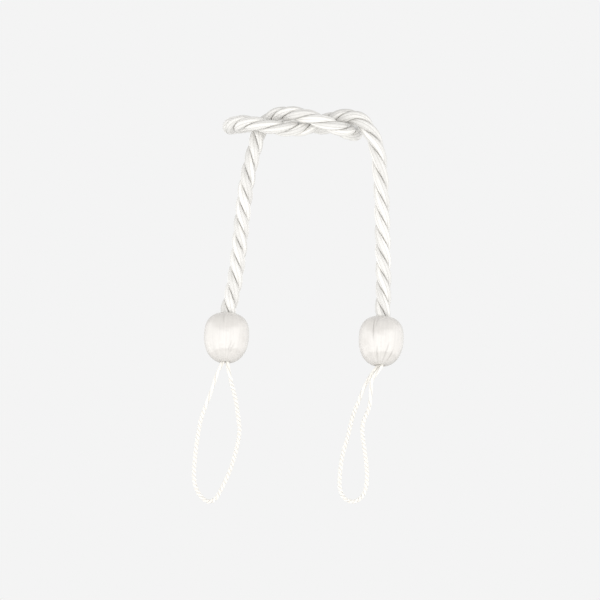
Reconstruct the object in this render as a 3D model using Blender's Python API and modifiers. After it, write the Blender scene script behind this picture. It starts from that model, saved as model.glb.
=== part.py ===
"""Rope tieback with a thread-wound ball and a hanging cord loop at each end.

The rope is tied in a half knot that closes a ring about 80 mm wide, and its two ends hang down.
The frame is metres with +Z up, +X to the right and +Y to the back. The origin is the middle of the
tied ring.
"""
import math

import bmesh
import bpy
import numpy as np
from mathutils import Matrix, Vector

# Rope: three strands laid left-handed, so that they lean like a backslash on a hanging end
ROPE_DIAMETER = 0.0104
ROPE_STEP = 0.00288
STRANDS = 3
STRAND_CENTRE = 0.0026
STRAND_ACROSS = 0.0031
POINTS_PER_STRAND = 5
FIRST_TURN = -0.085

# Lay: the length of one turn of the strands at distances along the rope from its left end, in
# millimetres. It opens where the right end bends over and hangs down
ROPE_LAY_MM = [
    # distance, length of a turn
    (0.0, 33.5),
    (410.0, 34.8),
    (475.0, 44.5),
    (520.0, 36.0),
    (571.0, 36.0),
]

# Knot: its pull squeezes the soft rope a little thinner within reach of its middle
KNOT_CENTRE = (0.004, -0.025, 0.001)
KNOT_REACH = 0.042
KNOT_SQUEEZE = 0.07

# Ball: a bead wound with satin thread, widest a little above its middle
BALL_RADIUS = 0.0146
BALL_TOP = 0.0150
BALL_BOTTOM = 0.0181
BALL_TOP_FULLNESS = 2.7
BALL_BOTTOM_FULLNESS = 2.2
BALL_SIDES = 32
BALL_RINGS = 8
SOCKET_DEPTH = 0.006
LIP = 0.0010
LIP_ROUND = 0.0003
GAP = 0.0003

# Loop: one cord whose two ends are held side by side in the hole under its ball
LOOP_DIAMETER = 0.0028
LOOP_SIDE = 0.0016
LOOP_STEP = 0.0056

# Ball places: the middle of the widest level, how far the top leans towards +X, how far it tips
# back towards +Y, and how far the pair of cord ends in the hole below is turned from lying side
# by side
LEFT_BALL = {
    "centre": (-0.04315, -0.0318, -0.13705),
    "lean": math.radians(3.2),
    "tip": math.radians(14.0),
    "pair_turn": 0.0,
}
RIGHT_BALL = {
    "centre": (0.0573, -0.0252, -0.1393),
    "lean": math.radians(3.0),
    "tip": math.radians(14.0),
    "pair_turn": math.radians(-40.0),
}

# Rope's route between the two balls, in millimetres: X, Y, Z
ROPE_ROUTE_MM = [
    # Left end, rising to the knot
    (-40.0, -26.4, -112.0),
    (-35.6, -24.9, -85.2),
    (-32.4, -24.6, -55.3),
    (-28.6, -24.4, -30.0),
    (-24.2, -21.8, -12.0),
    # Behind the other run, over the hump and down in front of it
    (-20.2, -17.9, -1.2),
    (-13.8, -19.0, 5.0),
    (-3.6, -25.2, 7.4),
    (9.4, -31.0, 5.4),
    (21.5, -32.0, 0.9),
    (31.0, -27.4, -2.9),
    (37.0, -17.8, -4.9),
    # Round the right side, the back and the left side
    (40.6, -5.0, -5.0),
    (36.5, 12.0, -1.8),
    (16.0, 25.2, -0.2),
    (-14.0, 25.5, 0.6),
    (-35.5, 13.0, 0.2),
    (-41.0, -2.0, -0.6),
    # Forward over the first run, low in the middle and up behind it
    (-34.4, -19.0, 1.5),
    (-20.2, -29.6, -0.2),
    (-7.5, -30.2, -2.5),
    (5.9, -25.0, -2.4),
    (16.5, -20.8, 0.8),
    (26.0, -19.4, 4.3),
    (35.5, -19.8, 5.7),
    (43.0, -20.5, 3.8),
    (49.0, -19.6, -2.5),
    (53.2, -18.8, -10.5),
    # Right end, hanging
    (56.4, -18.3, -27.0),
    (57.9, -18.3, -55.0),
    (58.6, -18.8, -85.0),
    (58.7, -19.4, -112.0),
]

# Each loop's route from one end in its ball to the other, in millimetres: X, Y, Z
LEFT_LOOP_ROUTE_MM = [
    (-48.3, -37.2, -159.4),
    (-51.2, -38.0, -167.6),
    (-54.1, -38.0, -175.8),
    (-56.7, -37.7, -182.6),
    (-59.1, -37.3, -189.4),
    (-61.1, -36.9, -198.3),
    (-62.6, -36.7, -208.0),
    (-63.7, -36.7, -217.8),
    (-64.2, -36.9, -227.5),
    (-63.3, -37.2, -234.2),
    (-60.9, -37.5, -239.4),
    (-57.7, -37.8, -243.0),
    (-54.1, -38.1, -244.4),
    (-50.7, -38.5, -242.9),
    (-47.9, -38.9, -239.2),
    (-45.0, -39.3, -233.4),
    (-41.9, -39.7, -226.8),
    (-39.5, -40.0, -220.5),
    (-37.8, -40.2, -214.5),
    (-35.3, -40.4, -203.8),
    (-34.7, -40.4, -197.2),
    (-35.3, -40.3, -190.8),
    (-36.2, -40.1, -184.2),
    (-37.2, -39.8, -178.2),
    (-38.5, -39.3, -172.8),
    (-39.8, -38.6, -168.0),
    (-41.0, -37.7, -162.5),
]
RIGHT_LOOP_ROUTE_MM = [
    (51.6, -29.5, -161.0),
    (48.6, -30.0, -165.9),
    (46.4, -30.3, -170.0),
    (43.2, -30.7, -178.0),
    (39.8, -31.0, -186.4),
    (37.3, -31.2, -195.0),
    (35.2, -31.4, -203.8),
    (32.9, -31.4, -211.5),
    (31.2, -31.3, -220.2),
    (30.3, -31.0, -229.4),
    (30.6, -30.8, -236.6),
    (32.3, -30.7, -241.0),
    (35.1, -30.7, -243.6),
    (38.7, -30.8, -244.6),
    (42.3, -31.0, -243.6),
    (45.1, -31.3, -240.9),
    (47.0, -31.7, -236.6),
    (47.9, -32.2, -231.2),
    (47.9, -32.8, -222.8),
    (46.8, -33.4, -213.8),
    (45.5, -33.7, -204.4),
    (45.0, -33.8, -197.4),
    (45.8, -33.8, -192.2),
    (47.5, -33.7, -188.3),
    (49.1, -33.6, -184.4),
    (50.1, -33.5, -178.6),
    (50.5, -33.4, -171.8),
    (51.2, -33.1, -166.0),
    (53.8, -32.3, -161.6),
]

MILLIMETRE = 0.001
SUBSTEPS = 24


def clear_scene():
    """Remove every object of the scene."""
    for item in list(bpy.data.objects):
        bpy.data.objects.remove(item, do_unlink=True)


def new_collection(name):
    """Add a collection to the scene and return it."""
    collection = bpy.data.collections.new(name)
    bpy.context.scene.collection.children.link(collection)
    return collection


def new_material(name, colour, roughness):
    """Return a Principled material with the given linear colour."""
    material = bpy.data.materials.new(name)
    material.use_nodes = True
    shader = material.node_tree.nodes["Principled BSDF"]
    shader.inputs["Base Color"].default_value = (*colour, 1.0)
    shader.inputs["Roughness"].default_value = roughness
    shader.inputs["Metallic"].default_value = 0.0
    return material


def ball_matrix(ball):
    """Return the placement of a ball: at its centre, leaning sideways and tipping back."""
    turned = Matrix.Rotation(ball["lean"], 4, "Y") @ Matrix.Rotation(-ball["tip"], 4, "X")
    return Matrix.Translation(ball["centre"]) @ turned


def ball_point(ball, side, height):
    """Return the point at a height on a ball's axis, or to one side of it in the line of the pair."""
    pair = Matrix.Rotation(ball["pair_turn"], 4, "Z")
    return tuple(ball_matrix(ball) @ pair @ Vector((side, 0.0, height)))


def ball_profile():
    """Return the turned outline (radius, height), from the top socket's floor to the bottom one's."""
    top_hole = ROPE_DIAMETER / 2 + GAP
    bottom_hole = LOOP_SIDE + LOOP_DIAMETER / 2 + GAP
    top_level = fullness_height(top_hole + LIP, BALL_TOP, BALL_TOP_FULLNESS)
    bottom_level = -fullness_height(bottom_hole + LIP, BALL_BOTTOM, BALL_BOTTOM_FULLNESS)
    points = [
        (0.0, top_level - SOCKET_DEPTH),
        (top_hole, top_level - SOCKET_DEPTH),
        (top_hole, top_level - LIP),
        (top_hole + LIP_ROUND, top_level - LIP_ROUND),
    ]
    points += outer_curve(top_hole + LIP, BALL_TOP, BALL_TOP_FULLNESS)
    points.append((BALL_RADIUS, 0.0))
    lower = outer_curve(bottom_hole + LIP, BALL_BOTTOM, BALL_BOTTOM_FULLNESS)
    points += [(radius, -height) for radius, height in reversed(lower)]
    points += [
        (bottom_hole + LIP_ROUND, bottom_level + LIP_ROUND),
        (bottom_hole, bottom_level + LIP),
        (bottom_hole, bottom_level + SOCKET_DEPTH),
        (0.0, bottom_level + SOCKET_DEPTH),
    ]
    return points


def fullness_height(radius, reach, fullness):
    """Return the height of the superellipse above its widest level at a given radius."""
    return reach * (1.0 - (radius / BALL_RADIUS) ** fullness) ** (1.0 / fullness)


def outer_curve(mouth, reach, fullness):
    """Return the superellipse points from the socket's mouth to just short of the widest level."""
    first = math.acos((mouth / BALL_RADIUS) ** (fullness / 2))
    angles = [first * (1 - i / BALL_RINGS) for i in range(BALL_RINGS)]
    return [
        (BALL_RADIUS * math.cos(a) ** (2 / fullness), reach * math.sin(a) ** (2 / fullness))
        for a in angles
    ]


def socket_ends(ball, side, sign):
    """Return the two points that hold a cord straight in a socket: its end and its mouth.

    sign is 1 for the rope's socket on top of the ball and -1 for the loop's socket below it.
    """
    profile = ball_profile()
    floor = profile[0][1] if sign > 0 else profile[-1][1]
    heights = (GAP, SOCKET_DEPTH)
    return [ball_point(ball, side, floor + sign * height) for height in heights]


def route_points(start, route_mm, end):
    """Join a cord's start, its hand-chosen route and its end, in metres."""
    middle = [tuple(MILLIMETRE * value for value in point) for point in route_mm]
    return start + middle + end


def natural_spline(route, step):
    """Return points about a step apart on the natural cubic spline through a route."""
    knots = np.array(route)
    spans = np.linalg.norm(np.diff(knots, axis=0), axis=1)
    system = np.eye(len(knots))
    change = np.zeros_like(knots)
    for i in range(1, len(knots) - 1):
        before, after = spans[i - 1], spans[i]
        system[i, i - 1:i + 2] = before, 2 * (before + after), after
        change[i] = 6 * ((knots[i + 1] - knots[i]) / after - (knots[i] - knots[i - 1]) / before)
    bends = np.linalg.solve(system, change)
    fine = [knots[0]]
    for i, span in enumerate(spans):
        for part in range(1, SUBSTEPS + 1):
            b = part / SUBSTEPS
            a = 1 - b
            bow = ((a**3 - a) * bends[i] + (b**3 - b) * bends[i + 1]) * span**2 / 6
            fine.append(a * knots[i] + b * knots[i + 1] + bow)
    fine = np.array(fine)
    along = np.concatenate([[0.0], np.cumsum(np.linalg.norm(np.diff(fine, axis=0), axis=1))])
    marks = np.linspace(0.0, along[-1], round(along[-1] / step) + 1)
    return np.column_stack([np.interp(marks, along, fine[:, axis]) for axis in range(3)])


def poly_curve(name, points, collection):
    """Return a curve object of one straight-segment spline through the points."""
    data = bpy.data.curves.new(name, "CURVE")
    data.dimensions = "3D"
    data.twist_mode = "MINIMUM"
    data.use_fill_caps = True
    spline = data.splines.new("POLY")
    spline.points.add(len(points) - 1)
    for point, place in zip(spline.points, points):
        point.co = (*place, 1.0)
    spline.use_smooth = True
    item = bpy.data.objects.new(name, data)
    collection.objects.link(item)
    return item


def strand_section():
    """Return the rope's section: a closed outline with a raised lobe for each strand."""
    sector = 2 * math.pi / STRANDS
    outline = []
    for strand in range(STRANDS):
        for i in range(POINTS_PER_STRAND):
            angle = (0.5 - i / POINTS_PER_STRAND) * sector
            radius = lobe_radius(angle)
            turn = angle - strand * sector
            outline.append((radius * math.cos(turn), radius * math.sin(turn), 0.0))
    return outline


def lobe_radius(angle):
    """Return the section's radius at an angle from the middle of a strand.

    A strand is an ellipse set off the rope's axis, flattened where it leans on its neighbours.
    """
    deep = ROPE_DIAMETER / 2 - STRAND_CENTRE
    c, s = math.cos(angle), math.sin(angle)
    a = (c / deep) ** 2 + (s / STRAND_ACROSS) ** 2
    b = -2 * STRAND_CENTRE * c / deep**2
    d = (STRAND_CENTRE / deep) ** 2 - 1
    return (-b + math.sqrt(max(b * b - 4 * a * d, 0.0))) / (2 * a)


def rope_scale(place):
    """Return how thick the rope is at a place, as a share of its free thickness."""
    distance = math.dist(place, KNOT_CENTRE)
    return 1 - KNOT_SQUEEZE * math.exp(-((distance / KNOT_REACH) ** 4))


def turns_along(points):
    """Return how many turns the strands have made at each point along the rope."""
    steps = np.linalg.norm(np.diff(points, axis=0), axis=1)
    along = np.concatenate([[0.0], np.cumsum(steps)])
    distances, lays = np.array(ROPE_LAY_MM).T * MILLIMETRE
    rate = 1 / np.interp(along, distances, lays)
    laid = np.cumsum(steps * (rate[1:] + rate[:-1]) / 2)
    return FIRST_TURN + np.concatenate([[0.0], laid])


def make_section_guide(collection):
    """Add the rope's section as a guide curve that is not part of the object."""
    guide = poly_curve("rope_section", strand_section(), collection)
    guide.data.dimensions = "2D"
    guide.data.splines[0].use_cyclic_u = True
    guide.hide_render = True
    guide.display_type = "WIRE"
    return guide


def make_rope(section, collection, material):
    """Add the rope: its section swept along the knotted route and turned once in each lay.

    Each face is split along its shorter diagonal, which runs with the strands.
    """
    route = route_points(
        socket_ends(LEFT_BALL, 0.0, 1),
        ROPE_ROUTE_MM,
        socket_ends(RIGHT_BALL, 0.0, 1)[::-1],
    )
    points = natural_spline(route, ROPE_STEP)
    rope = poly_curve("rope", points, collection)
    rope.data.bevel_mode = "OBJECT"
    rope.data.bevel_object = section
    for point, place, turns in zip(rope.data.splines[0].points, points, turns_along(points)):
        point.tilt = -2 * math.pi * turns
        point.radius = rope_scale(place)
    along_strands = rope.modifiers.new("along_strands", "TRIANGULATE")
    along_strands.quad_method = "SHORTEST_DIAGONAL"
    rope.data.materials.append(material)


def make_ball(name, ball, collection, material):
    """Add a ball: its outline turned round its own axis, then leaned and placed."""
    mesh = bpy.data.meshes.new(name)
    outline = bmesh.new()
    corners = [outline.verts.new((radius, 0.0, height)) for radius, height in ball_profile()]
    for first, second in zip(corners, corners[1:]):
        outline.edges.new((first, second))
    outline.to_mesh(mesh)
    outline.free()
    item = bpy.data.objects.new(name, mesh)
    collection.objects.link(item)
    item.matrix_world = ball_matrix(ball)
    turn = item.modifiers.new("turn", "SCREW")
    turn.axis = "Z"
    turn.steps = BALL_SIDES
    turn.render_steps = BALL_SIDES
    turn.use_merge_vertices = True
    turn.merge_threshold = 0.00001
    turn.use_smooth_shade = True
    mesh.materials.append(material)


def make_loop(name, ball, route_mm, collection, material):
    """Add a hanging loop: one round cord from the ball's socket, down and back up into it."""
    route = route_points(
        socket_ends(ball, -LOOP_SIDE, -1),
        route_mm,
        socket_ends(ball, LOOP_SIDE, -1)[::-1],
    )
    loop = poly_curve(name, natural_spline(route, LOOP_STEP), collection)
    loop.data.bevel_depth = LOOP_DIAMETER / 2
    loop.data.bevel_resolution = 2
    loop.data.materials.append(material)


def main():
    """Build the tieback."""
    clear_scene()
    tieback = new_collection("rope_tieback")
    guides = new_collection("guides")
    rope_satin = new_material("white_satin_rope", (0.86, 0.85, 0.82), 0.42)
    wound_thread = new_material("white_wound_satin_thread", (0.84, 0.83, 0.80), 0.35)
    twisted_cord = new_material("cream_twisted_cord", (0.86, 0.83, 0.76), 0.6)
    make_rope(make_section_guide(guides), tieback, rope_satin)
    make_ball("ball_left", LEFT_BALL, tieback, wound_thread)
    make_ball("ball_right", RIGHT_BALL, tieback, wound_thread)
    make_loop("loop_left", LEFT_BALL, LEFT_LOOP_ROUTE_MM, tieback, twisted_cord)
    make_loop("loop_right", RIGHT_BALL, RIGHT_LOOP_ROUTE_MM, tieback, twisted_cord)


main()
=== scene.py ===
"""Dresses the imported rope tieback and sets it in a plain, pale studio.

A three-strand satin rope is tied in a half knot. Each end holds a ball wound with satin thread, and
from each ball hangs a loop of fine twisted cord. The frame is metres with +Z up and the front at -Y.
"""
import math

import bmesh
import bpy
import numpy as np
from mathutils import Matrix, Vector


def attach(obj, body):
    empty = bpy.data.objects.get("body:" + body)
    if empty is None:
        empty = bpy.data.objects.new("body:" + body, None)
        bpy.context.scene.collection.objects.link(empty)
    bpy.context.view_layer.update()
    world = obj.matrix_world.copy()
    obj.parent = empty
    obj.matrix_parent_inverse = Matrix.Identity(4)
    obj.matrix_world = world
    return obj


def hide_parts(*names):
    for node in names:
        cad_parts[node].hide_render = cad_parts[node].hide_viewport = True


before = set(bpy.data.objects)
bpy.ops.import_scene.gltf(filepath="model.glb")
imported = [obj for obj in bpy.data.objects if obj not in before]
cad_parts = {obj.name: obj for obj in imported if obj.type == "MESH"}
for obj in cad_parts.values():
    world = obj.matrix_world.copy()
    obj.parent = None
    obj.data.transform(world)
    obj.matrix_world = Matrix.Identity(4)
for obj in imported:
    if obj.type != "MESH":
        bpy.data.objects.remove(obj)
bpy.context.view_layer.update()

bl_info = {
    "name": "Rope tieback",
    "version": (1, 0, 0),
    "blender": (4, 5, 0),
    "location": "3D View > Sidebar > Tieback",
    "description": "Builds a twisted satin rope tieback with wound balls and hanging cord loops",
    "category": "Add Mesh",
}

MILLIMETRE = 0.001

# Meshes: straight pieces between two points of a cord's route, and how near points are welded
SUBSTEPS = 24
WELD_DISTANCE = 1e-6

# Rope: three strands laid left-handed, so that they lean like a backslash on a hanging end. A
# strand's section is an oval that reaches outwards and to both sides of its own centre. The first
# turn and the first groove say how the strands stand at the left end
ROPE_DIAMETER = 0.0104
ROPE_STEP = 0.0008
STRANDS = 3
STRAND_SECTOR = 2 * math.pi / STRANDS
STRAND_CENTRE = 0.0026
STRAND_OUT = ROPE_DIAMETER / 2 - STRAND_CENTRE
STRAND_ACROSS = 0.0031
STRAND_COLUMNS = 38
FIRST_TURN = -0.085
FIRST_GROOVE = math.radians(-68.0)
CREVICE_WIDTH = math.radians(3.8)

# Lines between yarns: a higher power makes the sunk line, or the painted shade along it, narrower.
# The yarns of one strand or ply are numbered far enough from the next one's that no two share a tint
SUNK_LINE_POWER = 3
DARK_LINE_POWER = 6.0
NUMBERS_APART = 200.0

# Lay: the length of one turn of the strands at distances along the rope from its left end, in
# millimetres. It opens where the right end bends over and hangs down
ROPE_LAY_MM = [
    # distance, length of a turn
    (0.0, 33.5),
    (410.0, 34.8),
    (475.0, 44.5),
    (520.0, 36.0),
    (571.0, 36.0),
]

# Knot: its pull squeezes the soft rope a little thinner within reach of its middle
KNOT_CENTRE = (0.004, -0.025, 0.001)
KNOT_REACH = 0.042
KNOT_SQUEEZE = 0.07

# Ball: a bead wound with satin thread, widest a little above its middle. What is pressed in as far
# as the dark depth gets the full painted shade of a cleft
BALL_RADIUS = 0.0146
BALL_TOP = 0.0150
BALL_BOTTOM = 0.0181
BALL_TOP_FULLNESS = 2.7
BALL_BOTTOM_FULLNESS = 2.2
BALL_SIDES = 320
BALL_RINGS = 28
SOCKET_DEPTH = 0.006
LIP = 0.0010
LIP_STEPS = 4
GAP = 0.0003
DARK_DEPTH = 0.0005

# Flutes: the threads gather at the two holes. Round the ball the flutes swing to and fro by this
# many degrees of their wave, so that they are not even
FLUTES = 30
FLUTE_START = LIP / 3
FLUTE_DEPTH = 0.00022
FLUTE_REACH = 0.0022
FLUTE_SWING = 90
FLUTE_SWINGS = 3
FLUTE_SWING_START = 40

# Loop: one two-ply cord whose two ends are held in the hole under its ball, one to each side of its
# middle. A ply gets painted shade towards the other over this width, in radians round the ply
LOOP_DIAMETER = 0.0028
LOOP_SIDE = 0.0016
LOOP_STEP = 0.0003
PLIES = 2
PLY_RADIUS = 0.00096
PLY_COLUMNS = 14
PLY_GAP_WIDTH = 0.6
PLY_YARNS = 3

# Smooth stretches at a loop's first and last end, where the plies turn slowly and lie closer. The
# turning and the spacing are shares of those further on, which are reached over the fade's length
LEFT_LOOP_SMOOTH = (0.034, 0.014)
RIGHT_LOOP_SMOOTH = (0.028, 0.030)
SMOOTH_FADE = 0.006
SMOOTH_TURNING = 0.25
SMOOTH_SPACING = 0.6

# Holes in a ball: the rope's above, and the one below for the loop's two ends, with its floor
TOP_HOLE = ROPE_DIAMETER / 2 + GAP
BOTTOM_HOLE = LOOP_SIDE + LOOP_DIAMETER / 2 + GAP
BOTTOM_FLOOR = BOTTOM_HOLE / 2

# Drawing in: how far the winding is drawn in all round the hole below, and how far up this reaches
DRAWN_ALL_ROUND = 0.00035
DRAW_IN_REACH = 0.0018

# Ball places: the middle of the widest level, how far the top leans towards +X, how far it tips
# back towards +Y, how far the pair of cord ends in the hole below is turned from lying side by
# side, and the winding's creases
LEFT_BALL = {
    "centre": (-0.04315, -0.0318, -0.13705),
    "lean": math.radians(3.2),
    "tip": math.radians(14.0),
    "pair_turn": 0.0,
    "creases": [
        # azimuth in degrees at top and bottom, top and bottom height, width and depth in mm
        (16.0, 9.0, -5.0, -13.0, 0.5, 0.16),
        (25.0, 15.0, -6.0, -14.0, 0.5, 0.14),
        (-12.0, -9.0, 12.0, 5.0, 0.5, 0.10),
        (84.0, 80.0, 9.0, -6.0, 0.6, 0.16),
        (150.0, 156.0, 3.0, -14.0, 0.6, 0.20),
        (-118.0, -122.0, 11.0, -3.0, 0.6, 0.16),
    ],
}
RIGHT_BALL = {
    "centre": (0.0573, -0.0252, -0.1393),
    "lean": math.radians(3.0),
    "tip": math.radians(14.0),
    "pair_turn": math.radians(-40.0),
    "creases": [
        # azimuth in degrees at top and bottom, top and bottom height, width and depth in mm
        (-24.0, -21.0, 13.0, -5.0, 0.4, 0.28),
        (-12.0, -17.0, 14.0, 4.0, 0.4, 0.14),
        (-10.0, -14.0, -7.0, -17.0, 0.5, 0.20),
        (22.0, 12.0, -4.0, -17.0, 0.5, 0.20),
        (40.0, 30.0, -8.0, -17.5, 0.5, 0.22),
        (96.0, 92.0, 6.0, -10.0, 0.6, 0.18),
        (170.0, 163.0, 12.0, -6.0, 0.6, 0.20),
        (-100.0, -96.0, 2.0, -13.0, 0.6, 0.18),
    ],
}

# Rope's route between the two balls, in millimetres: X, Y, Z
ROPE_ROUTE_MM = [
    # Left end, rising to the knot
    (-40.0, -26.4, -112.0),
    (-35.6, -24.9, -85.2),
    (-32.4, -24.6, -55.3),
    (-28.6, -24.4, -30.0),
    (-24.2, -21.8, -12.0),
    # Behind the other run, over the hump and down in front of it
    (-20.2, -17.9, -1.2),
    (-13.8, -19.0, 5.0),
    (-3.6, -25.2, 7.4),
    (9.4, -31.0, 5.4),
    (21.5, -32.0, 0.9),
    (31.0, -27.4, -2.9),
    (37.0, -17.8, -4.9),
    # Round the right side, the back and the left side
    (40.6, -5.0, -5.0),
    (36.5, 12.0, -1.8),
    (16.0, 25.2, -0.2),
    (-14.0, 25.5, 0.6),
    (-35.5, 13.0, 0.2),
    (-41.0, -2.0, -0.6),
    # Forward over the first run, low in the middle and up behind it
    (-34.4, -19.0, 1.5),
    (-20.2, -29.6, -0.2),
    (-7.5, -30.2, -2.5),
    (5.9, -25.0, -2.4),
    (16.5, -20.8, 0.8),
    (26.0, -19.4, 4.3),
    (35.5, -19.8, 5.7),
    (43.0, -20.5, 3.8),
    (49.0, -19.6, -2.5),
    (53.2, -18.8, -10.5),
    # Right end, hanging
    (56.4, -18.3, -27.0),
    (57.9, -18.3, -55.0),
    (58.6, -18.8, -85.0),
    (58.7, -19.4, -112.0),
]

# Each loop's route from one end in its ball to the other, in millimetres: X, Y, Z
LEFT_LOOP_ROUTE_MM = [
    (-48.3, -37.2, -159.4),
    (-51.2, -38.0, -167.6),
    (-54.1, -38.0, -175.8),
    (-56.7, -37.7, -182.6),
    (-59.1, -37.3, -189.4),
    (-61.1, -36.9, -198.3),
    (-62.6, -36.7, -208.0),
    (-63.7, -36.7, -217.8),
    (-64.2, -36.9, -227.5),
    (-63.3, -37.2, -234.2),
    (-60.9, -37.5, -239.4),
    (-57.7, -37.8, -243.0),
    (-54.1, -38.1, -244.4),
    (-50.7, -38.5, -242.9),
    (-47.9, -38.9, -239.2),
    (-45.0, -39.3, -233.4),
    (-41.9, -39.7, -226.8),
    (-39.5, -40.0, -220.5),
    (-37.8, -40.2, -214.5),
    (-35.3, -40.4, -203.8),
    (-34.7, -40.4, -197.2),
    (-35.3, -40.3, -190.8),
    (-36.2, -40.1, -184.2),
    (-37.2, -39.8, -178.2),
    (-38.5, -39.3, -172.8),
    (-39.8, -38.6, -168.0),
    (-41.0, -37.7, -162.5),
]
RIGHT_LOOP_ROUTE_MM = [
    (51.6, -29.5, -161.0),
    (48.6, -30.0, -165.9),
    (46.4, -30.3, -170.0),
    (43.2, -30.7, -178.0),
    (39.8, -31.0, -186.4),
    (37.3, -31.2, -195.0),
    (35.2, -31.4, -203.8),
    (32.9, -31.4, -211.5),
    (31.2, -31.3, -220.2),
    (30.3, -31.0, -229.4),
    (30.6, -30.8, -236.6),
    (32.3, -30.7, -241.0),
    (35.1, -30.7, -243.6),
    (38.7, -30.8, -244.6),
    (42.3, -31.0, -243.6),
    (45.1, -31.3, -240.9),
    (47.0, -31.7, -236.6),
    (47.9, -32.2, -231.2),
    (47.9, -32.8, -222.8),
    (46.8, -33.4, -213.8),
    (45.5, -33.7, -204.4),
    (45.0, -33.8, -197.4),
    (45.8, -33.8, -192.2),
    (47.5, -33.7, -188.3),
    (49.1, -33.6, -184.4),
    (50.1, -33.5, -178.6),
    (50.5, -33.4, -171.8),
    (51.2, -33.1, -166.0),
    (53.8, -32.3, -161.6),
]

# Picture: the photograph is square, and shows this much of the plane through the hanging ends
PICTURE_SIDE = 0.390
PICTURE_CENTRE = (0.00455, -0.022, -0.11375)
SENSOR_WIDTH_MM = 36.0
CAMERA_REACH = 50.0

# Floor: far enough down to stay below the front view
FLOOR_LEVEL = -1.35
FLOOR_RADIUS = 7.0
FLOOR_SIDES = 128

# Studio: two broad softboxes stand in front, left and right of the camera's view, and a dimmer one
# stands on each side. The satin mirrors them as a bright band, and above it the room over their
# upper edges as a greyer cap
SOFTBOXES = [
    # name, azimuth and elevation in degrees, distance, width and height in metres, brightness
    ("left_softbox", -31.0, -2.7, 1.5, 1.9, 1.77, 1.12),
    ("right_softbox", 33.0, -1.2, 1.5, 1.9, 1.77, 1.15),
    ("left_side_softbox", -98.0, -2.7, 1.5, 1.9, 1.77, 0.85),
    ("right_side_softbox", 98.0, -1.2, 1.5, 1.9, 1.77, 0.75),
]

# Room: white walls all round, and a dim ceiling between these heights of a unit direction
WALL_BRIGHTNESS = 0.75
CEILING_BRIGHTNESS = 0.72
WALL_TOP = 0.46
CEILING_EDGE = 0.53

# Behind the tieback the white backdrop adds this much, from one of these depths of a unit direction
# to the other. It keeps the silhouettes bright
BACKDROP_GAIN = 0.35
BACKDROP_EDGE = 0.55
BACKDROP_FULL = 0.9


def linear_colour(text):
    """Return an sRGB hex colour such as #F6F5F1 as linear red, green and blue."""
    values = [int(text[i:i + 2], 16) / 255 for i in (1, 3, 5)]
    return tuple(v / 12.92 if v <= 0.04045 else ((v + 0.055) / 1.055) ** 2.4 for v in values)


# Painted shade: the gaps between threads, plies or strands are painted towards this colour,
# since little light comes back out of them
PAINTED_SHADE_COLOUR = linear_colour("#7F7A73")

# Noise textures: nearly all of their values lie between these two
NOISE_LOW = 0.3
NOISE_HIGH = 0.7

# Winding: how many threads one step of the noise spans, how far it drifts in a metre of height,
# how broad its bands are, how dark its threads and bands get and how high the threads stand
THREADS_IN_NOISE = 2
THREAD_DRIFT = 3.0
BROAD_NOISE = 3.0
DARKEST_THREAD = 0.90
DARKEST_BAND = 0.95
THREAD_RELIEF = 0.00018


class TiebackSizes(bpy.types.PropertyGroup):
    """Sizes of the windings and of the studio that a user may change."""

    # The yarns and the threads are drawn coarser than the real ones, which are too fine to show
    yarns: bpy.props.IntProperty(
        name="Yarns",
        description="Yarns counted once round a strand of the rope",
        default=6,
        min=4,
        max=16,
    )
    yarn_height: bpy.props.FloatProperty(
        name="Yarn height",
        description="How far a yarn stands above the lines between yarns",
        default=0.0002,
        min=0.0,
        unit="LENGTH",
    )
    crevice_depth: bpy.props.FloatProperty(
        name="Crevice depth",
        description="How much deeper than the solid the cleft between two strands goes",
        default=0.0012,
        min=0.0,
        unit="LENGTH",
    )
    ply_turn: bpy.props.FloatProperty(
        name="Ply turn",
        description="Length of one turn of the loop cord's two plies",
        default=0.0059,
        min=0.001,
        unit="LENGTH",
    )
    thread: bpy.props.FloatProperty(
        name="Thread",
        description="Spacing of the threads round the widest level of a ball",
        default=0.0005,
        min=0.0001,
        unit="LENGTH",
    )
    camera_distance: bpy.props.FloatProperty(
        name="Camera distance",
        description="How far in front of the tieback the camera stands",
        default=6.0,
        min=1.0,
        unit="LENGTH",
    )


class TiebackColours(bpy.types.PropertyGroup):
    """Colours that a user may change."""

    rope: bpy.props.FloatVectorProperty(
        name="Rope",
        description="Colour of the rope's satin yarns",
        default=linear_colour("#EAE8E4"),
        min=0.0,
        max=1.0,
        subtype="COLOR",
    )
    ball: bpy.props.FloatVectorProperty(
        name="Balls",
        description="Colour of the satin thread on the balls",
        default=linear_colour("#D6D2CD"),
        min=0.0,
        max=1.0,
        subtype="COLOR",
    )
    cord: bpy.props.FloatVectorProperty(
        name="Loops",
        description="Colour of the loops' twisted cord",
        default=linear_colour("#ECE9E3"),
        min=0.0,
        max=1.0,
        subtype="COLOR",
    )
    floor: bpy.props.FloatVectorProperty(
        name="Floor",
        description="Colour of the studio's floor",
        default=linear_colour("#EEEEED"),
        min=0.0,
        max=1.0,
        subtype="COLOR",
    )
    backdrop: bpy.props.FloatVectorProperty(
        name="Backdrop",
        description="Colour that shows behind the tieback",
        default=linear_colour("#F4F4F4"),
        min=0.0,
        max=1.0,
        subtype="COLOR",
    )


def add_node(tree, kind, settings, inputs):
    """Add a node, give it its settings, and set or link its inputs."""
    node = tree.nodes.new(kind)
    for name, value in settings.items():
        setattr(node, name, value)
    for name, value in inputs.items():
        if isinstance(value, bpy.types.NodeSocket):
            tree.links.new(value, node.inputs[name])
        else:
            node.inputs[name].default_value = value
    return node


def new_material(name):
    """Return an empty node material, its node tree and its output node."""
    material = bpy.data.materials.new(name)
    material.use_nodes = True
    tree = material.node_tree
    tree.nodes.clear()
    return material, tree, add_node(tree, "ShaderNodeOutputMaterial", {}, {})


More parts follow.
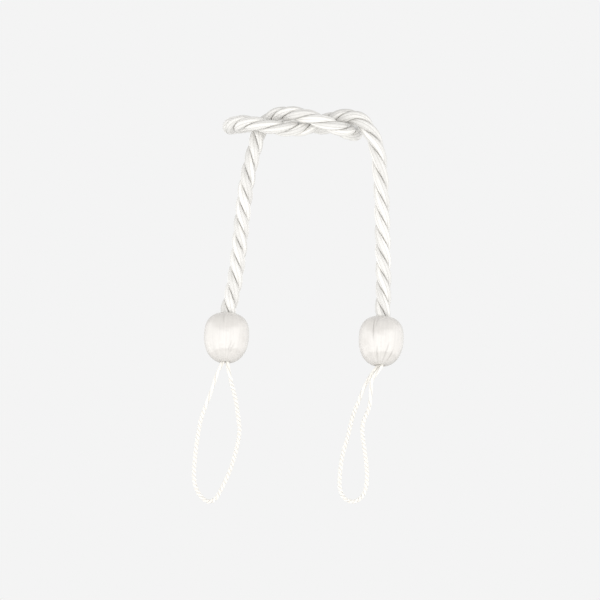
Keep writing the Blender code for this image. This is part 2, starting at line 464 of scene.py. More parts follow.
def yarn_satin(name, colour, finish):
    """Return a material of smooth yarns that lie side by side along the UV map "yarns".

    U counts the yarns and V is the distance along them in millimetres. Each yarn has its own tint
    and fine filaments, the line between two yarns gets painted shade, and the gloss stretches across
    them. In the finish, tint, streak and line say how strongly the yarns' own tints, the filaments
    and the lines' painted shade show, and the painted shade amount how strongly the painted shade in
    the clefts between strands or plies shows. Shade is the colour of the lines' painted shade and
    relief their depth.
    """
    material, tree, output = new_material(name)
    lines = add_node(tree, "ShaderNodeUVMap", {"uv_map": "yarns"}, {})
    place = add_node(tree, "ShaderNodeSeparateXYZ", {}, {"Vector": lines.outputs["UV"]})
    yarn = add_node(tree, "ShaderNodeMath", {"operation": "FLOOR"}, {0: place.outputs["X"]})
    within = add_node(tree, "ShaderNodeMath", {"operation": "FRACT"}, {0: place.outputs["X"]})
    twice = add_node(
        tree, "ShaderNodeMath", {"operation": "MULTIPLY_ADD"}, {0: within.outputs[0], 1: 2.0, 2: -1.0}
    )
    aside = add_node(tree, "ShaderNodeMath", {"operation": "ABSOLUTE"}, {0: twice.outputs[0]})
    line = add_node(
        tree, "ShaderNodeMath", {"operation": "POWER"}, {0: aside.outputs[0], 1: DARK_LINE_POWER}
    )
    tint = add_node(
        tree, "ShaderNodeTexWhiteNoise", {"noise_dimensions": "1D"}, {"W": yarn.outputs[0]}
    )
    density = (finish["filaments_a_yarn"], 1 / finish["filament_length_mm"], 1.0)
    stretch = add_node(
        tree,
        "ShaderNodeVectorMath",
        {"operation": "MULTIPLY"},
        {0: lines.outputs["UV"], 1: density},
    )
    filaments = add_node(
        tree,
        "ShaderNodeTexNoise",
        {"noise_dimensions": "2D"},
        {"Vector": stretch.outputs["Vector"], "Scale": 1.0, "Detail": 2.0, "Roughness": 0.6},
    )
    own = add_node(
        tree,
        "ShaderNodeMapRange",
        {},
        {"Value": tint.outputs["Value"], "To Min": 1.0 - finish["tint"], "To Max": 1.0},
    )
    fine = add_node(
        tree,
        "ShaderNodeMapRange",
        {},
        {
            "Value": filaments.outputs["Fac"],
            "From Min": NOISE_LOW,
            "From Max": NOISE_HIGH,
            "To Min": 1.0 - finish["streak"],
            "To Max": 1.0,
        },
    )
    light = add_node(
        tree,
        "ShaderNodeMath",
        {"operation": "MULTIPLY"},
        {0: own.outputs["Result"], 1: fine.outputs["Result"]},
    )
    body = add_node(
        tree,
        "ShaderNodeVectorMath",
        {"operation": "SCALE"},
        {0: colour, "Scale": light.outputs[0]},
    )
    # Painted shade along the lines between yarns, mixed towards the shade colour
    share = add_node(
        tree, "ShaderNodeMath", {"operation": "MULTIPLY"}, {0: line.outputs[0], 1: finish["line"]}
    )
    lined = add_node(
        tree,
        "ShaderNodeMix",
        {"data_type": "RGBA"},
        {"Factor": share.outputs[0], 6: body.outputs["Vector"], 7: (*finish["shade"], 1.0)},
    )
    # Painted shade: the clefts between strands or plies are painted darker, as far as the vertex
    # layer says
    painted_shade_amount = add_node(tree, "ShaderNodeAttribute", {"attribute_name": "painted_shade_amount"}, {})
    deep = add_node(
        tree, "ShaderNodeMath", {"operation": "MULTIPLY"}, {0: painted_shade_amount.outputs["Fac"], 1: finish["painted_shade_amount"]}
    )
    surface = add_node(
        tree,
        "ShaderNodeMix",
        {"data_type": "RGBA"},
        {"Factor": deep.outputs[0], 6: lined.outputs[2], 7: (*PAINTED_SHADE_COLOUR, 1.0)},
    )
    round_off = add_node(
        tree, "ShaderNodeMath", {"operation": "MULTIPLY"}, {0: line.outputs[0], 1: -1.0}
    )
    relief = add_node(
        tree,
        "ShaderNodeMath",
        {"operation": "MULTIPLY_ADD"},
        {0: filaments.outputs["Fac"], 1: finish["filament_share"], 2: round_off.outputs[0]},
    )
    bump = add_node(
        tree,
        "ShaderNodeBump",
        {},
        {"Height": relief.outputs[0], "Distance": finish["relief"], "Strength": 1.0},
    )
    across = add_node(
        tree, "ShaderNodeTangent", {"direction_type": "UV_MAP", "uv_map": "yarns"}, {}
    )
    shader = add_node(
        tree,
        "ShaderNodeBsdfPrincipled",
        {},
        {
            "Base Color": surface.outputs[2],
            "Normal": bump.outputs["Normal"],
            "Tangent": across.outputs["Tangent"],
            "Roughness": finish["roughness"],
            "Anisotropic": finish["anisotropic"],
            "Specular IOR Level": finish["specular"],
            "Sheen Weight": finish["sheen"],
            "Sheen Roughness": 0.4,
        },
    )
    tree.links.new(shader.outputs["BSDF"], output.inputs["Surface"])
    return material


def viscose_satin_rope(colours):
    """Viscose yarn laid up into a rope: it reads as smooth, bright lines with a soft silky gloss."""
    finish = {
        "filaments_a_yarn": 3.0,
        "filament_length_mm": 25.0,
        "filament_share": 0.15,
        "tint": 0.22,
        "streak": 0.03,
        # Painted shade: line and shade paint the lines between yarns darker, and the strength after
        # them paints the clefts between strands darker
        "line": 0.62,
        "painted_shade_amount": 0.34,
        "shade": linear_colour("#BDBBB6"),
        "relief": 0.00013,
        "roughness": 0.36,
        "anisotropic": 0.8,
        "specular": 0.9,
        "sheen": 0.1,
    }
    return yarn_satin("viscose_satin_yarn_laid", colours.rope, finish)


def cotton_twisted_cord(colours):
    """Fine cotton cord, twisted: nearly matt, a little creamy, with short bright bumps."""
    finish = {
        "filaments_a_yarn": 3.0,
        "filament_length_mm": 2.0,
        "filament_share": 0.6,
        "tint": 0.03,
        "streak": 0.06,
        # Painted shade: line and shade paint the lines between yarns darker, and the strength after
        # them paints the clefts between plies darker
        "line": 0.1,
        "painted_shade_amount": 0.38,
        "shade": linear_colour("#E4DFD2"),
        "relief": 0.00005,
        "roughness": 0.6,
        "anisotropic": 0.3,
        "specular": 0.5,
        "sheen": 0.2,
    }
    return yarn_satin("cotton_cord_twisted", colours.cord, finish)


def wound_satin_thread(colours, sizes, name, ball):
    """Satin thread wound from pole to pole: fine upright lines and a bright band across them.

    The threads' noise is laid over a unit circle round the ball's axis, and hardly changes upwards.
    """
    thread_noise = BALL_RADIUS / (THREADS_IN_NOISE * sizes.thread)
    material, tree, output = new_material(name)
    coordinates = add_node(tree, "ShaderNodeTexCoord", {}, {})
    middle = add_node(
        tree,
        "ShaderNodeVectorMath",
        {"operation": "SUBTRACT"},
        {0: coordinates.outputs["Object"], 1: ball["centre"]},
    )
    unleaned = add_node(
        tree,
        "ShaderNodeVectorRotate",
        {"rotation_type": "Y_AXIS"},
        {"Vector": middle.outputs["Vector"], "Angle": -ball["lean"]},
    )
    upright = add_node(
        tree,
        "ShaderNodeVectorRotate",
        {"rotation_type": "X_AXIS"},
        {"Vector": unleaned.outputs["Vector"], "Angle": ball["tip"]},
    )
    parts = add_node(tree, "ShaderNodeSeparateXYZ", {}, {"Vector": upright.outputs["Vector"]})
    flat = add_node(
        tree, "ShaderNodeCombineXYZ", {}, {"X": parts.outputs["X"], "Y": parts.outputs["Y"]}
    )
    around = add_node(
        tree, "ShaderNodeVectorMath", {"operation": "NORMALIZE"}, {0: flat.outputs["Vector"]}
    )
    level = add_node(
        tree, "ShaderNodeMath", {"operation": "MULTIPLY"}, {0: parts.outputs["Z"], 1: THREAD_DRIFT}
    )
    direction = add_node(
        tree, "ShaderNodeSeparateXYZ", {}, {"Vector": around.outputs["Vector"]}
    )
    place = add_node(
        tree,
        "ShaderNodeCombineXYZ",
        {},
        {"X": direction.outputs["X"], "Y": direction.outputs["Y"], "Z": level.outputs[0]},
    )
    threads = add_node(
        tree,
        "ShaderNodeTexNoise",
        {},
        {
            "Vector": place.outputs["Vector"],
            "Scale": thread_noise,
            "Detail": 3.0,
            "Roughness": 0.7,
        },
    )
    bands = add_node(
        tree,
        "ShaderNodeTexNoise",
        {},
        {"Vector": place.outputs["Vector"], "Scale": BROAD_NOISE, "Detail": 2.0},
    )
    fine = add_node(
        tree,
        "ShaderNodeMapRange",
        {},
        {
            "Value": threads.outputs["Fac"],
            "From Min": NOISE_LOW,
            "From Max": NOISE_HIGH,
            "To Min": DARKEST_THREAD,
            "To Max": 1.0,
        },
    )
    broad = add_node(
        tree,
        "ShaderNodeMapRange",
        {},
        {
            "Value": bands.outputs["Fac"],
            "From Min": NOISE_LOW,
            "From Max": NOISE_HIGH,
            "To Min": DARKEST_BAND,
            "To Max": 1.0,
        },
    )
    light = add_node(
        tree,
        "ShaderNodeMath",
        {"operation": "MULTIPLY"},
        {0: fine.outputs["Result"], 1: broad.outputs["Result"]},
    )
    body = add_node(
        tree,
        "ShaderNodeVectorMath",
        {"operation": "SCALE"},
        {0: colours.ball, "Scale": light.outputs[0]},
    )
    # Painted shade: the pressed-in creases and flutes are painted darker, as far as the vertex layer
    # says
    painted_shade_amount = add_node(tree, "ShaderNodeAttribute", {"attribute_name": "painted_shade_amount"}, {})
    surface = add_node(
        tree,
        "ShaderNodeMix",
        {"data_type": "RGBA"},
        {"Factor": painted_shade_amount.outputs["Fac"], 6: body.outputs["Vector"], 7: (*PAINTED_SHADE_COLOUR, 1.0)},
    )
    bump = add_node(
        tree,
        "ShaderNodeBump",
        {},
        {"Height": threads.outputs["Fac"], "Distance": THREAD_RELIEF, "Strength": 1.0},
    )
    across = add_node(
        tree, "ShaderNodeTangent", {"direction_type": "UV_MAP", "uv_map": "winding"}, {}
    )
    shader = add_node(
        tree,
        "ShaderNodeBsdfPrincipled",
        {},
        {
            "Base Color": surface.outputs[2],
            "Normal": bump.outputs["Normal"],
            "Tangent": across.outputs["Tangent"],
            "IOR": 1.75,
            "Roughness": 0.24,
            "Anisotropic": 0.97,
            "Specular IOR Level": 1.0,
            "Sheen Weight": 0.05,
        },
    )
    tree.links.new(shader.outputs["BSDF"], output.inputs["Surface"])
    return material


def matt_paper(colours):
    """Matt coated paper for the studio's floor: pale and plain, with a barely visible mottle."""
    material, tree, output = new_material("coated_paper_matt")
    coordinates = add_node(tree, "ShaderNodeTexCoord", {}, {})
    mottle = add_node(
        tree,
        "ShaderNodeTexNoise",
        {},
        {"Vector": coordinates.outputs["Object"], "Scale": 4.0, "Detail": 2.0},
    )
    light = add_node(
        tree,
        "ShaderNodeMapRange",
        {},
        {"Value": mottle.outputs["Fac"], "To Min": 0.985, "To Max": 1.0},
    )
    body = add_node(
        tree,
        "ShaderNodeVectorMath",
        {"operation": "SCALE"},
        {0: colours.floor, "Scale": light.outputs["Result"]},
    )
    shader = add_node(
        tree,
        "ShaderNodeBsdfPrincipled",
        {},
        {"Base Color": body.outputs["Vector"], "Roughness": 0.9, "Specular IOR Level": 0.2},
    )
    tree.links.new(shader.outputs["BSDF"], output.inputs["Surface"])
    return material


def ball_matrix(ball):
    """Return the placement of a ball: at its centre, leaning sideways and tipping back."""
    turned = Matrix.Rotation(ball["lean"], 4, "Y") @ Matrix.Rotation(-ball["tip"], 4, "X")
    return Matrix.Translation(ball["centre"]) @ turned


def ball_point(ball, side, height):
    """Return the point at a height on a ball's axis, or to one side of it in the line of the pair."""
    pair = Matrix.Rotation(ball["pair_turn"], 4, "Z")
    return tuple(ball_matrix(ball) @ pair @ Vector((side, 0.0, height)))


def fullness_height(radius, reach, fullness):
    """Return the height of the superellipse above its widest level at a given radius."""
    return reach * (1.0 - (radius / BALL_RADIUS) ** fullness) ** (1.0 / fullness)


def outer_curve(mouth, reach, fullness):
    """Return the superellipse points from the socket's mouth to just short of the widest level."""
    first = math.acos((mouth / BALL_RADIUS) ** (fullness / 2))
    angles = [first * (1 - i / BALL_RINGS) for i in range(BALL_RINGS)]
    return [
        (BALL_RADIUS * math.cos(a) ** (2 / fullness), reach * math.sin(a) ** (2 / fullness))
        for a in angles
    ]


def lip_curve(hole, level, sign):
    """Return the rounded lip of a socket from its wall to just short of its mouth."""
    angles = [math.pi / 2 * i / LIP_STEPS for i in range(LIP_STEPS)]
    return [
        (hole + LIP * (1 - math.cos(a)), level - sign * LIP * (1 - math.sin(a))) for a in angles
    ]


def ball_profile():
    """Return the turned outline (radius, height), from the top socket's floor to the bottom one's."""
    top_level = fullness_height(TOP_HOLE + LIP, BALL_TOP, BALL_TOP_FULLNESS)
    bottom_level = -fullness_height(BOTTOM_HOLE + LIP, BALL_BOTTOM, BALL_BOTTOM_FULLNESS)
    points = [(0.0, top_level - SOCKET_DEPTH), (TOP_HOLE, top_level - SOCKET_DEPTH)]
    points += lip_curve(TOP_HOLE, top_level, 1)
    points += outer_curve(TOP_HOLE + LIP, BALL_TOP, BALL_TOP_FULLNESS)
    points.append((BALL_RADIUS, 0.0))
    lower = outer_curve(BOTTOM_HOLE + LIP, BALL_BOTTOM, BALL_BOTTOM_FULLNESS)
    points += [(radius, -height) for radius, height in reversed(lower)]
    points += reversed(lip_curve(BOTTOM_HOLE, bottom_level, -1))
    points += [(BOTTOM_HOLE, bottom_level + SOCKET_DEPTH), (0.0, bottom_level + SOCKET_DEPTH)]
    return points


def socket_ends(ball, side, sign):
    """Return the two points that hold a cord straight in a socket: its end and its mouth.

    sign is 1 for the rope's socket on top of the ball and -1 for the loop's socket below it.
    """
    profile = ball_profile()
    floor = profile[0][1] if sign > 0 else profile[-1][1]
    heights = (GAP, SOCKET_DEPTH)
    return [ball_point(ball, side, floor + sign * height) for height in heights]


def route_points(start, route_mm, end):
    """Join a cord's start, its given route and its end, in metres."""
    middle = [tuple(MILLIMETRE * value for value in point) for point in route_mm]
    return start + middle + end


def natural_spline(route, step):
    """Return points about a step apart on the natural cubic spline through a route."""
    knots = np.array(route)
    spans = np.linalg.norm(np.diff(knots, axis=0), axis=1)
    system = np.eye(len(knots))
    change = np.zeros_like(knots)
    for i in range(1, len(knots) - 1):
        before, after = spans[i - 1], spans[i]
        system[i, i - 1:i + 2] = before, 2 * (before + after), after
        change[i] = 6 * ((knots[i + 1] - knots[i]) / after - (knots[i] - knots[i - 1]) / before)
    bends = np.linalg.solve(system, change)
    fine = [knots[0]]
    for i, span in enumerate(spans):
        for part in range(1, SUBSTEPS + 1):
            late = part / SUBSTEPS
            early = 1 - late
            pull = (early**3 - early) * bends[i] + (late**3 - late) * bends[i + 1]
            fine.append(early * knots[i] + late * knots[i + 1] + pull * span**2 / 6)
    fine = np.array(fine)
    along = distances_along(fine)
    marks = np.linspace(0.0, along[-1], round(along[-1] / step) + 1)
    return np.column_stack([np.interp(marks, along, fine[:, axis]) for axis in range(3)])


def distances_along(points):
    """Return each point's distance from the first, along the points."""
    steps = np.linalg.norm(np.diff(points, axis=0), axis=1)
    return np.concatenate([[0.0], np.cumsum(steps)])


def carried_frames(points):
    """Return two directions across a route at each point: its front, and the side next to that.

    The front starts towards -Y and is carried along the route without turning about it.
    """
    along = np.gradient(points, axis=0)
    along /= np.linalg.norm(along, axis=1)[:, None]
    fronts = np.empty_like(points)
    front = np.array((0.0, -1.0, 0.0))
    for i, direction in enumerate(along):
        front = front - direction * front.dot(direction)
        front /= np.linalg.norm(front)
        fronts[i] = front
    return fronts, np.cross(along, fronts)


def rope_scale(points):
    """Return how thick the rope is at each point, as a share of its free thickness."""
    distance = np.linalg.norm(points - np.array(KNOT_CENTRE), axis=1)
    return 1 - KNOT_SQUEEZE * np.exp(-((distance / KNOT_REACH) ** 4))


def turns_made(along, rate):
    """Return how many turns are made up to each distance, from the turns a metre there."""
    return np.concatenate([[0.0], np.cumsum(np.diff(along) * (rate[1:] + rate[:-1]) / 2)])


def yarn_lines(yarn, count, along):
    """Return the UV map of a cord's strands: the yarn's own number and the millimetres along it."""
    number = yarn + NUMBERS_APART * np.arange(count)[:, None]
    distance = np.broadcast_to(along[:, None, None] / MILLIMETRE, number.shape)
    return np.stack([number, distance], axis=-1)


def roll_up(name, points, offsets, uvs, gaps):
    """Roll a flat grid up into a closed cord that follows the points, and return its object.

    offsets[ring, strand, column] is a place across the cord, to the front and to the side,
    uvs[ring, strand, column] the place on the UV map "yarns", and gaps[ring, strand, column] is 1
    deep in the cleft between two strands and 0 on top of them. The gaps are kept as the vertex layer
    of painted shade, which paints the clefts darker.
    """
    rings, strands, columns = offsets.shape[:3]
    columns -= 1
    around = strands * columns
    fronts, sides = carried_frames(points)
    places = (
        points[:, None, None]
        + offsets[..., 0:1] * fronts[:, None, None]
        + offsets[..., 1:2] * sides[:, None, None]
    )
    cord = bmesh.new()
    half = 0.5
    bmesh.ops.create_grid(cord, x_segments=around, y_segments=rings - 1, size=half)
    layer = cord.loops.layers.uv.new("yarns")
    # Painted shade: how much darker each place is painted for lying down in a cleft
    painted_shade_amount = cord.verts.layers.float.new("painted_shade_amount")
    cells = {}
    for vert in cord.verts:
        ring = round((vert.co.y + half) * (rings - 1))
        column = round((vert.co.x + half) * around)
        cells[vert] = (ring, column)
    for face in cord.faces:
        face.smooth = True
        strand = min(cells[vert][1] for vert in face.verts) // columns
        for loop in face.loops:
            ring, column = cells[loop.vert]
            loop[layer].uv = uvs[ring, strand, column - strand * columns]
    for vert, (ring, column) in cells.items():
        strand = min(column // columns, strands - 1)
        vert.co = places[ring, strand, column - strand * columns]
        vert[painted_shade_amount] = gaps[ring, strand, column - strand * columns]
    bmesh.ops.remove_doubles(cord, verts=cord.verts, dist=WELD_DISTANCE)
    ends = [edge for edge in cord.edges if edge.is_boundary]
    bmesh.ops.holes_fill(cord, edges=ends, sides=0)
    bmesh.ops.recalc_face_normals(cord, faces=cord.faces)
    return finished(name, cord)


def finished(name, shape):
    """Turn a finished bmesh into an object of the scene."""
    mesh = bpy.data.meshes.new(name)
    shape.to_mesh(mesh)
    shape.free()
    item = bpy.data.objects.new(name, mesh)
    bpy.context.scene.collection.objects.link(item)
    return item


def meeting_angle():
    """Return the angle, round a strand's oval section, at which it meets the next strand."""
    slope = math.tan(STRAND_SECTOR / 2)
    slanted = math.hypot(STRAND_ACROSS, slope * STRAND_OUT)
    tilt = math.atan2(slope * STRAND_OUT, STRAND_ACROSS)
    return math.asin(slope * STRAND_CENTRE / slanted) + tilt


def strand_grid(sizes, points):
    """Return the places across the rope, the yarn lines and the gaps that roll_up asks for."""
    along = distances_along(points)
    lay_distances, lays = np.array(ROPE_LAY_MM).T * MILLIMETRE
    turns = FIRST_TURN + turns_made(along, 1 / np.interp(along, lay_distances, lays))
    own = meeting_angle() * np.linspace(1.0, -1.0, STRAND_COLUMNS + 1)
    middle = FIRST_GROOVE - 2 * math.pi * turns + STRAND_SECTOR / 2
    lead = (middle[:, None] - STRAND_SECTOR * np.arange(STRANDS))[..., None]

    # Each strand's section, with the lines between its yarns sunk into it
    yarn = sizes.yarns * (own + lead) / (2 * math.pi)
    sunk = sizes.yarn_height * np.abs(2 * (yarn % 1) - 1) ** SUNK_LINE_POWER
    out = STRAND_CENTRE + (STRAND_OUT - sunk) * np.cos(own)
    side = (STRAND_ACROSS - sunk) * np.sin(own)

    # The same round the rope's own middle, with the clefts deepened and both their sides joined
    angle = np.arctan2(side, out)
    # How deep in a cleft a place lies deepens it and also sets its painted shade
    gaps = np.exp(-(((np.abs(angle) - STRAND_SECTOR / 2) / CREVICE_WIDTH) ** 2))
    radius = np.hypot(out, side) - sizes.crevice_depth * gaps
    radius *= rope_scale(points)[:, None, None]
    angle[..., 0] = STRAND_SECTOR / 2
    angle[..., -1] = -STRAND_SECTOR / 2
    joint = radius[..., 0].min(axis=1)
    radius[..., 0] = joint[:, None]
    radius[..., -1] = joint[:, None]
    turned = angle + lead
    offsets = np.stack([radius * np.cos(turned), radius * np.sin(turned)], axis=-1)
    return offsets, yarn_lines(yarn, STRANDS, along), gaps


def make_rope(sizes, colours):
    """Lay three strands of parallel yarns round the rope's route."""
    route = route_points(
        socket_ends(LEFT_BALL, 0.0, 1),
        ROPE_ROUTE_MM,
        socket_ends(RIGHT_BALL, 0.0, 1)[::-1],
    )
    points = natural_spline(route, ROPE_STEP)
    rope = roll_up("rope_satin", points, *strand_grid(sizes, points))
    rope.data.materials.append(viscose_satin_rope(colours))
    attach(rope, "root")
    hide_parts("rope")


def ply_grid(sizes, points, smooth_ends):
    """Return the places across a loop's cord, the yarn lines and the gaps that roll_up asks for."""
    along = distances_along(points)
    from_end = along[-1] - along
    twisted = np.clip((along - smooth_ends[0]) / SMOOTH_FADE, 0.0, 1.0)
    twisted *= np.clip((from_end - smooth_ends[1]) / SMOOTH_FADE, 0.0, 1.0)
    turning = SMOOTH_TURNING + (1 - SMOOTH_TURNING) * twisted
    turns = turns_made(along, turning / sizes.ply_turn)
    lead = (-2 * math.pi * (turns[:, None] + np.arange(PLIES) / PLIES))[..., None]

    # Each ply's round section, cut off flat where it meets the other in the cord's middle
    spacing = SMOOTH_SPACING + (1 - SMOOTH_SPACING) * twisted
    centre = (LOOP_DIAMETER / 2 - PLY_RADIUS) * spacing[:, None, None]
    meet = np.arccos(-centre / PLY_RADIUS)
    own = meet * np.linspace(1.0, -1.0, PLY_COLUMNS + 1)
    own = np.broadcast_to(own, (len(points), PLIES, PLY_COLUMNS + 1))
    out = centre + PLY_RADIUS * np.cos(own)
    side = PLY_RADIUS * np.sin(own)
    out[..., 0] = 0.0
    out[..., -1] = 0.0

    # The same turned with the twist
    front = out * np.cos(lead) - side * np.sin(lead)
    beside = out * np.sin(lead) + side * np.cos(lead)
    yarn = PLY_YARNS * (own + lead) / (2 * math.pi)
    # Painted shade: each ply is painted darker towards the other where they meet
    gaps = np.clip((np.abs(own) - meet + PLY_GAP_WIDTH) / PLY_GAP_WIDTH, 0.0, 1.0)
    return np.stack([front, beside], axis=-1), yarn_lines(yarn, PLIES, along), gaps


def make_loop(name, node, ball, route_mm, smooth_ends, sizes, material):
    """Twist two plies along a loop's route, smooth at first where they leave the ball."""
    route = route_points(
        socket_ends(ball, -LOOP_SIDE, -1),
        route_mm,
        socket_ends(ball, LOOP_SIDE, -1)[::-1],
    )
    points = natural_spline(route, LOOP_STEP)
    loop = roll_up(name, points, *ply_grid(sizes, points, smooth_ends))
    loop.data.materials.append(material)
    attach(loop, "root")
    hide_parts(node)


def crease_depth(crease, azimuth, radius, height):
    """Return how deep a crease presses a place on the ball, at an azimuth in degrees."""
    top_azimuth, bottom_azimuth, top, bottom, width, depth = crease
    share = (top - height / MILLIMETRE) / (top - bottom)
    if not 0 < share < 1:
        return 0.0
    turn = azimuth - top_azimuth - (bottom_azimuth - top_azimuth) * share
    aside = math.radians((turn + 180) % 360 - 180) * radius / MILLIMETRE
    press = math.sin(math.pi * share) * math.exp(-((aside / width) ** 2))
    return depth * MILLIMETRE * press


def press_threads(shape, creases):
    """Press creases into the winding, and flutes where its threads gather at the two holes.

    The vertex layer of painted shade tells the material how far each place lies down between
    threads, and the creases and flutes are painted that much darker.
    """
    painted_shade_amount = shape.verts.layers.float.new("painted_shade_amount")
    for vert in shape.verts:
        x, y, z = vert.co
        radius = math.hypot(x, y)
        beyond = radius - (TOP_HOLE if z > 0 else BOTTOM_HOLE)
        if beyond < FLUTE_START:
            continue
        azimuth = math.degrees(math.atan2(x, -y))
        swing = FLUTE_SWING * math.sin(math.radians(FLUTE_SWINGS * azimuth + FLUTE_SWING_START))
        wave = math.sin(math.radians(FLUTES * azimuth + swing))
        sink = FLUTE_DEPTH * math.exp(-beyond / FLUTE_REACH) * (1 + wave) / 2
        for crease in creases:
            sink += crease_depth(crease, azimuth, radius, z)
        vert.co.x = x * (radius - sink) / radius
        vert.co.y = y * (radius - sink) / radius
        vert[painted_shade_amount] = min(sink / DARK_DEPTH, 1.0)


def draw_in_hole(shape, pair_turn):
    """Draw the winding in round the two cord ends, so that the hole below is as flat as the pair."""
    slack = LOOP_SIDE - DRAWN_ALL_ROUND
    for vert in shape.verts:
        x, y, z = vert.co
        radius = math.hypot(x, y)
        if z > 0 or radius < BOTTOM_FLOOR:
            continue
        across = math.sin(math.atan2(y, x) - pair_turn) ** 2
        near = math.exp(-max(radius - BOTTOM_HOLE, 0.0) / DRAW_IN_REACH)
        drawn = (DRAWN_ALL_ROUND + slack * across) * near
        vert.co.x = x * (radius - drawn) / radius
        vert.co.y = y * (radius - drawn) / radius


def make_ball(name, node, ball, sizes, colours):
    """Turn the ball's outline round its axis, then lean and place it."""
    shape = bmesh.new()
    corners = [shape.verts.new((radius, 0.0, height)) for radius, height in ball_profile()]
    outline = [shape.edges.new(pair) for pair in zip(corners, corners[1:])]
    bmesh.ops.spin(
        shape,
        geom=corners + outline,
        cent=(0.0, 0.0, 0.0),
        axis=(0.0, 0.0, 1.0),
        angle=2 * math.pi,
        steps=BALL_SIDES,
        use_merge=True,
    )
    bmesh.ops.remove_doubles(shape, verts=shape.verts, dist=WELD_DISTANCE)
    bmesh.ops.recalc_face_normals(shape, faces=shape.faces)
    winding = shape.loops.layers.uv.new("winding")
    for face in shape.faces:
        face.smooth = True
        middle = face.calc_center_median()
        first = math.atan2(middle.y, middle.x)
        for loop in face.loops:
            place = loop.vert.co
            turn = math.atan2(place.y, place.x) - first
            turn = (turn + math.pi) % (2 * math.pi) - math.pi
            loop[winding].uv = ((first + turn) * BALL_RADIUS / MILLIMETRE, place.z / MILLIMETRE)
    press_threads(shape, ball["creases"])
    draw_in_hole(shape, ball["pair_turn"])
    bmesh.ops.transform(shape, matrix=ball_matrix(ball), verts=shape.verts)
    item = finished(name, shape)
    item.data.materials.append(wound_satin_thread(colours, sizes, f"{name}_viscose_wound", ball))
    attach(item, "root")
    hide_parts(node)


def make_camera(sizes):
    """Stand a level camera with a long lens straight in front."""
    data = bpy.data.cameras.new("camera")
    data.sensor_width = SENSOR_WIDTH_MM
    data.lens = data.sensor_width * sizes.camera_distance / PICTURE_SIDE
    data.clip_end = CAMERA_REACH
    camera = bpy.data.objects.new("camera", data)
    x, y, z = PICTURE_CENTRE
    camera.location = (x, y - sizes.camera_distance, z)
    camera.rotation_euler = (math.pi / 2, 0.0, 0.0)
    bpy.context.scene.collection.objects.link(camera)
    bpy.context.scene.camera = camera


def make_softbox(name, azimuth, elevation, distance, width, height, brightness):
    """Hang a rectangular softbox that faces the tieback; azimuth 0 is the front, 90 the right.

    The energy in watts is what gives its whole face the brightness.
    """
    data = bpy.data.lights.new(name, "AREA")
    data.shape = "RECTANGLE"
    data.size = width
    data.size_y = height
    data.energy = brightness * math.pi * width * height
    light = bpy.data.objects.new(name, data)
    turn = math.radians(azimuth)
    rise = math.radians(elevation)
    away = Vector((math.sin(turn), -math.cos(turn), math.tan(rise))).normalized()
    light.location = Vector(PICTURE_CENTRE) + distance * away
    light.rotation_euler = away.to_track_quat("Z", "Y").to_euler()
    bpy.context.scene.collection.objects.link(light)


def make_surroundings(colours):
    """Light the room from its white walls, and show an even pale backdrop."""
    world = bpy.data.worlds.new("studio")
    bpy.context.scene.world = world
    world.use_nodes = True
    tree = world.node_tree
    tree.nodes.clear()
    rays = add_node(tree, "ShaderNodeLightPath", {}, {})
    direction = add_node(tree, "ShaderNodeTexCoord", {}, {})
    height = add_node(
        tree, "ShaderNodeSeparateXYZ", {}, {"Vector": direction.outputs["Generated"]}
    )
    brightness = add_node(
        tree,
        "ShaderNodeMapRange",
        {"interpolation_type": "SMOOTHSTEP"},
        {
            "Value": height.outputs["Z"],
            "From Min": WALL_TOP,
            "From Max": CEILING_EDGE,
            "To Min": WALL_BRIGHTNESS,
            "To Max": CEILING_BRIGHTNESS,
        },
    )
    behind = add_node(
        tree,
        "ShaderNodeMapRange",
        {"interpolation_type": "SMOOTHSTEP"},
        {
            "Value": height.outputs["Y"],
            "From Min": BACKDROP_EDGE,
            "From Max": BACKDROP_FULL,
            "To Min": 0.0,
            "To Max": BACKDROP_GAIN,
        },
    )
    total = add_node(
        tree,
        "ShaderNodeMath",
        {"operation": "ADD"},
        {0: brightness.outputs["Result"], 1: behind.outputs["Result"]},
    )
    white = (1.0, 1.0, 1.0, 1.0)
    room = add_node(
        tree, "ShaderNodeBackground", {}, {"Color": white, "Strength": total.outputs[0]}
    )
    seen = add_node(
        tree, "ShaderNodeBackground", {}, {"Color": (*colours.backdrop, 1.0), "Strength": 1.0}
    )
    both = add_node(
        tree,
        "ShaderNodeMixShader",
        {},
        {
            0: rays.outputs["Is Camera Ray"],
            1: room.outputs["Background"],
            2: seen.outputs["Background"],
        },
    )
    add_node(tree, "ShaderNodeOutputWorld", {}, {"Surface": both.outputs["Shader"]})


def make_floor(colours):
    """Lay a round floor far enough down to stay below the front view."""
    shape = bmesh.new()
    bmesh.ops.create_circle(
        shape,
        cap_ends=True,
        segments=FLOOR_SIDES,
        radius=FLOOR_RADIUS,
        matrix=Matrix.Translation((0.0, 0.0, FLOOR_LEVEL)),
    )
    floor = finished("floor", shape)
    floor.data.materials.append(matt_paper(colours))


class TIEBACK_OT_studio(bpy.types.Operator):
    """Set up the camera, the softboxes, the room's light and the floor"""

    bl_idname = "tieback.studio"
    bl_label = "Studio"

    def execute(self, context):
        sizes = context.scene.tieback_sizes
        colours = context.scene.tieback_colours
        make_camera(sizes)
        for softbox in SOFTBOXES:
            make_softbox(*softbox)
        make_surroundings(colours)
        make_floor(colours)
        context.scene.view_settings.view_transform = "Standard"
        return {"FINISHED"}


class TIEBACK_OT_rope(bpy.types.Operator):
    """Lay the tied satin rope between the two balls"""

    bl_idname = "tieback.rope"
    bl_label = "Rope"

    def execute(self, context):
        make_rope(context.scene.tieback_sizes, context.scene.tieback_colours)
        return {"FINISHED"}


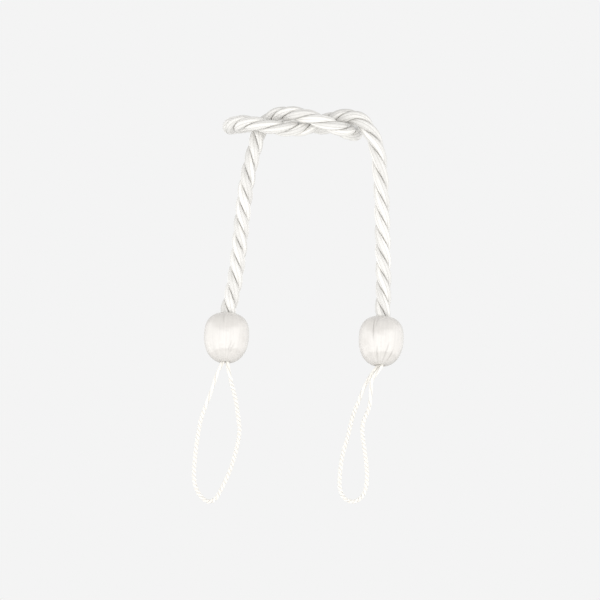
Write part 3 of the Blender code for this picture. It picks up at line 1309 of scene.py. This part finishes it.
class TIEBACK_OT_loops(bpy.types.Operator):
    """Twist the two hanging loops of fine cord"""

    bl_idname = "tieback.loops"
    bl_label = "Loops"

    def execute(self, context):
        sizes = context.scene.tieback_sizes
        cord = cotton_twisted_cord(context.scene.tieback_colours)
        make_loop(
            "loop_left_cord",
            "loop_left",
            LEFT_BALL,
            LEFT_LOOP_ROUTE_MM,
            LEFT_LOOP_SMOOTH,
            sizes,
            cord,
        )
        make_loop(
            "loop_right_cord",
            "loop_right",
            RIGHT_BALL,
            RIGHT_LOOP_ROUTE_MM,
            RIGHT_LOOP_SMOOTH,
            sizes,
            cord,
        )
        return {"FINISHED"}


class TIEBACK_OT_balls(bpy.types.Operator):
    """Wind the two balls with satin thread"""

    bl_idname = "tieback.balls"
    bl_label = "Balls"

    def execute(self, context):
        sizes = context.scene.tieback_sizes
        colours = context.scene.tieback_colours
        make_ball("ball_left_wound", "ball_left", LEFT_BALL, sizes, colours)
        make_ball("ball_right_wound", "ball_right", RIGHT_BALL, sizes, colours)
        return {"FINISHED"}


class TIEBACK_PT_panel(bpy.types.Panel):
    """List the steps that build the tieback, with its sizes and colours"""

    bl_idname = "TIEBACK_PT_panel"
    bl_label = "Rope tieback"
    bl_space_type = "VIEW_3D"
    bl_region_type = "UI"
    bl_category = "Tieback"

    def draw(self, context):
        for operator in (TIEBACK_OT_studio, TIEBACK_OT_rope, TIEBACK_OT_loops, TIEBACK_OT_balls):
            self.layout.operator(operator.bl_idname)
        for group in (context.scene.tieback_sizes, context.scene.tieback_colours):
            box = self.layout.box()
            for name in group.__annotations__:
                box.prop(group, name)


CLASSES = (
    TiebackSizes,
    TiebackColours,
    TIEBACK_OT_studio,
    TIEBACK_OT_rope,
    TIEBACK_OT_loops,
    TIEBACK_OT_balls,
    TIEBACK_PT_panel,
)


def register():
    """Register the classes and give the scene their settings."""
    for item in CLASSES:
        bpy.utils.register_class(item)
    bpy.types.Scene.tieback_sizes = bpy.props.PointerProperty(type=TiebackSizes)
    bpy.types.Scene.tieback_colours = bpy.props.PointerProperty(type=TiebackColours)


def unregister():
    """Take the settings and the classes away again."""
    del bpy.types.Scene.tieback_colours
    del bpy.types.Scene.tieback_sizes
    for item in reversed(CLASSES):
        bpy.utils.unregister_class(item)


def main():
    register()
    bpy.ops.tieback.studio()
    bpy.ops.tieback.rope()
    bpy.ops.tieback.loops()
    bpy.ops.tieback.balls()


if __name__ == "__main__":
    main()
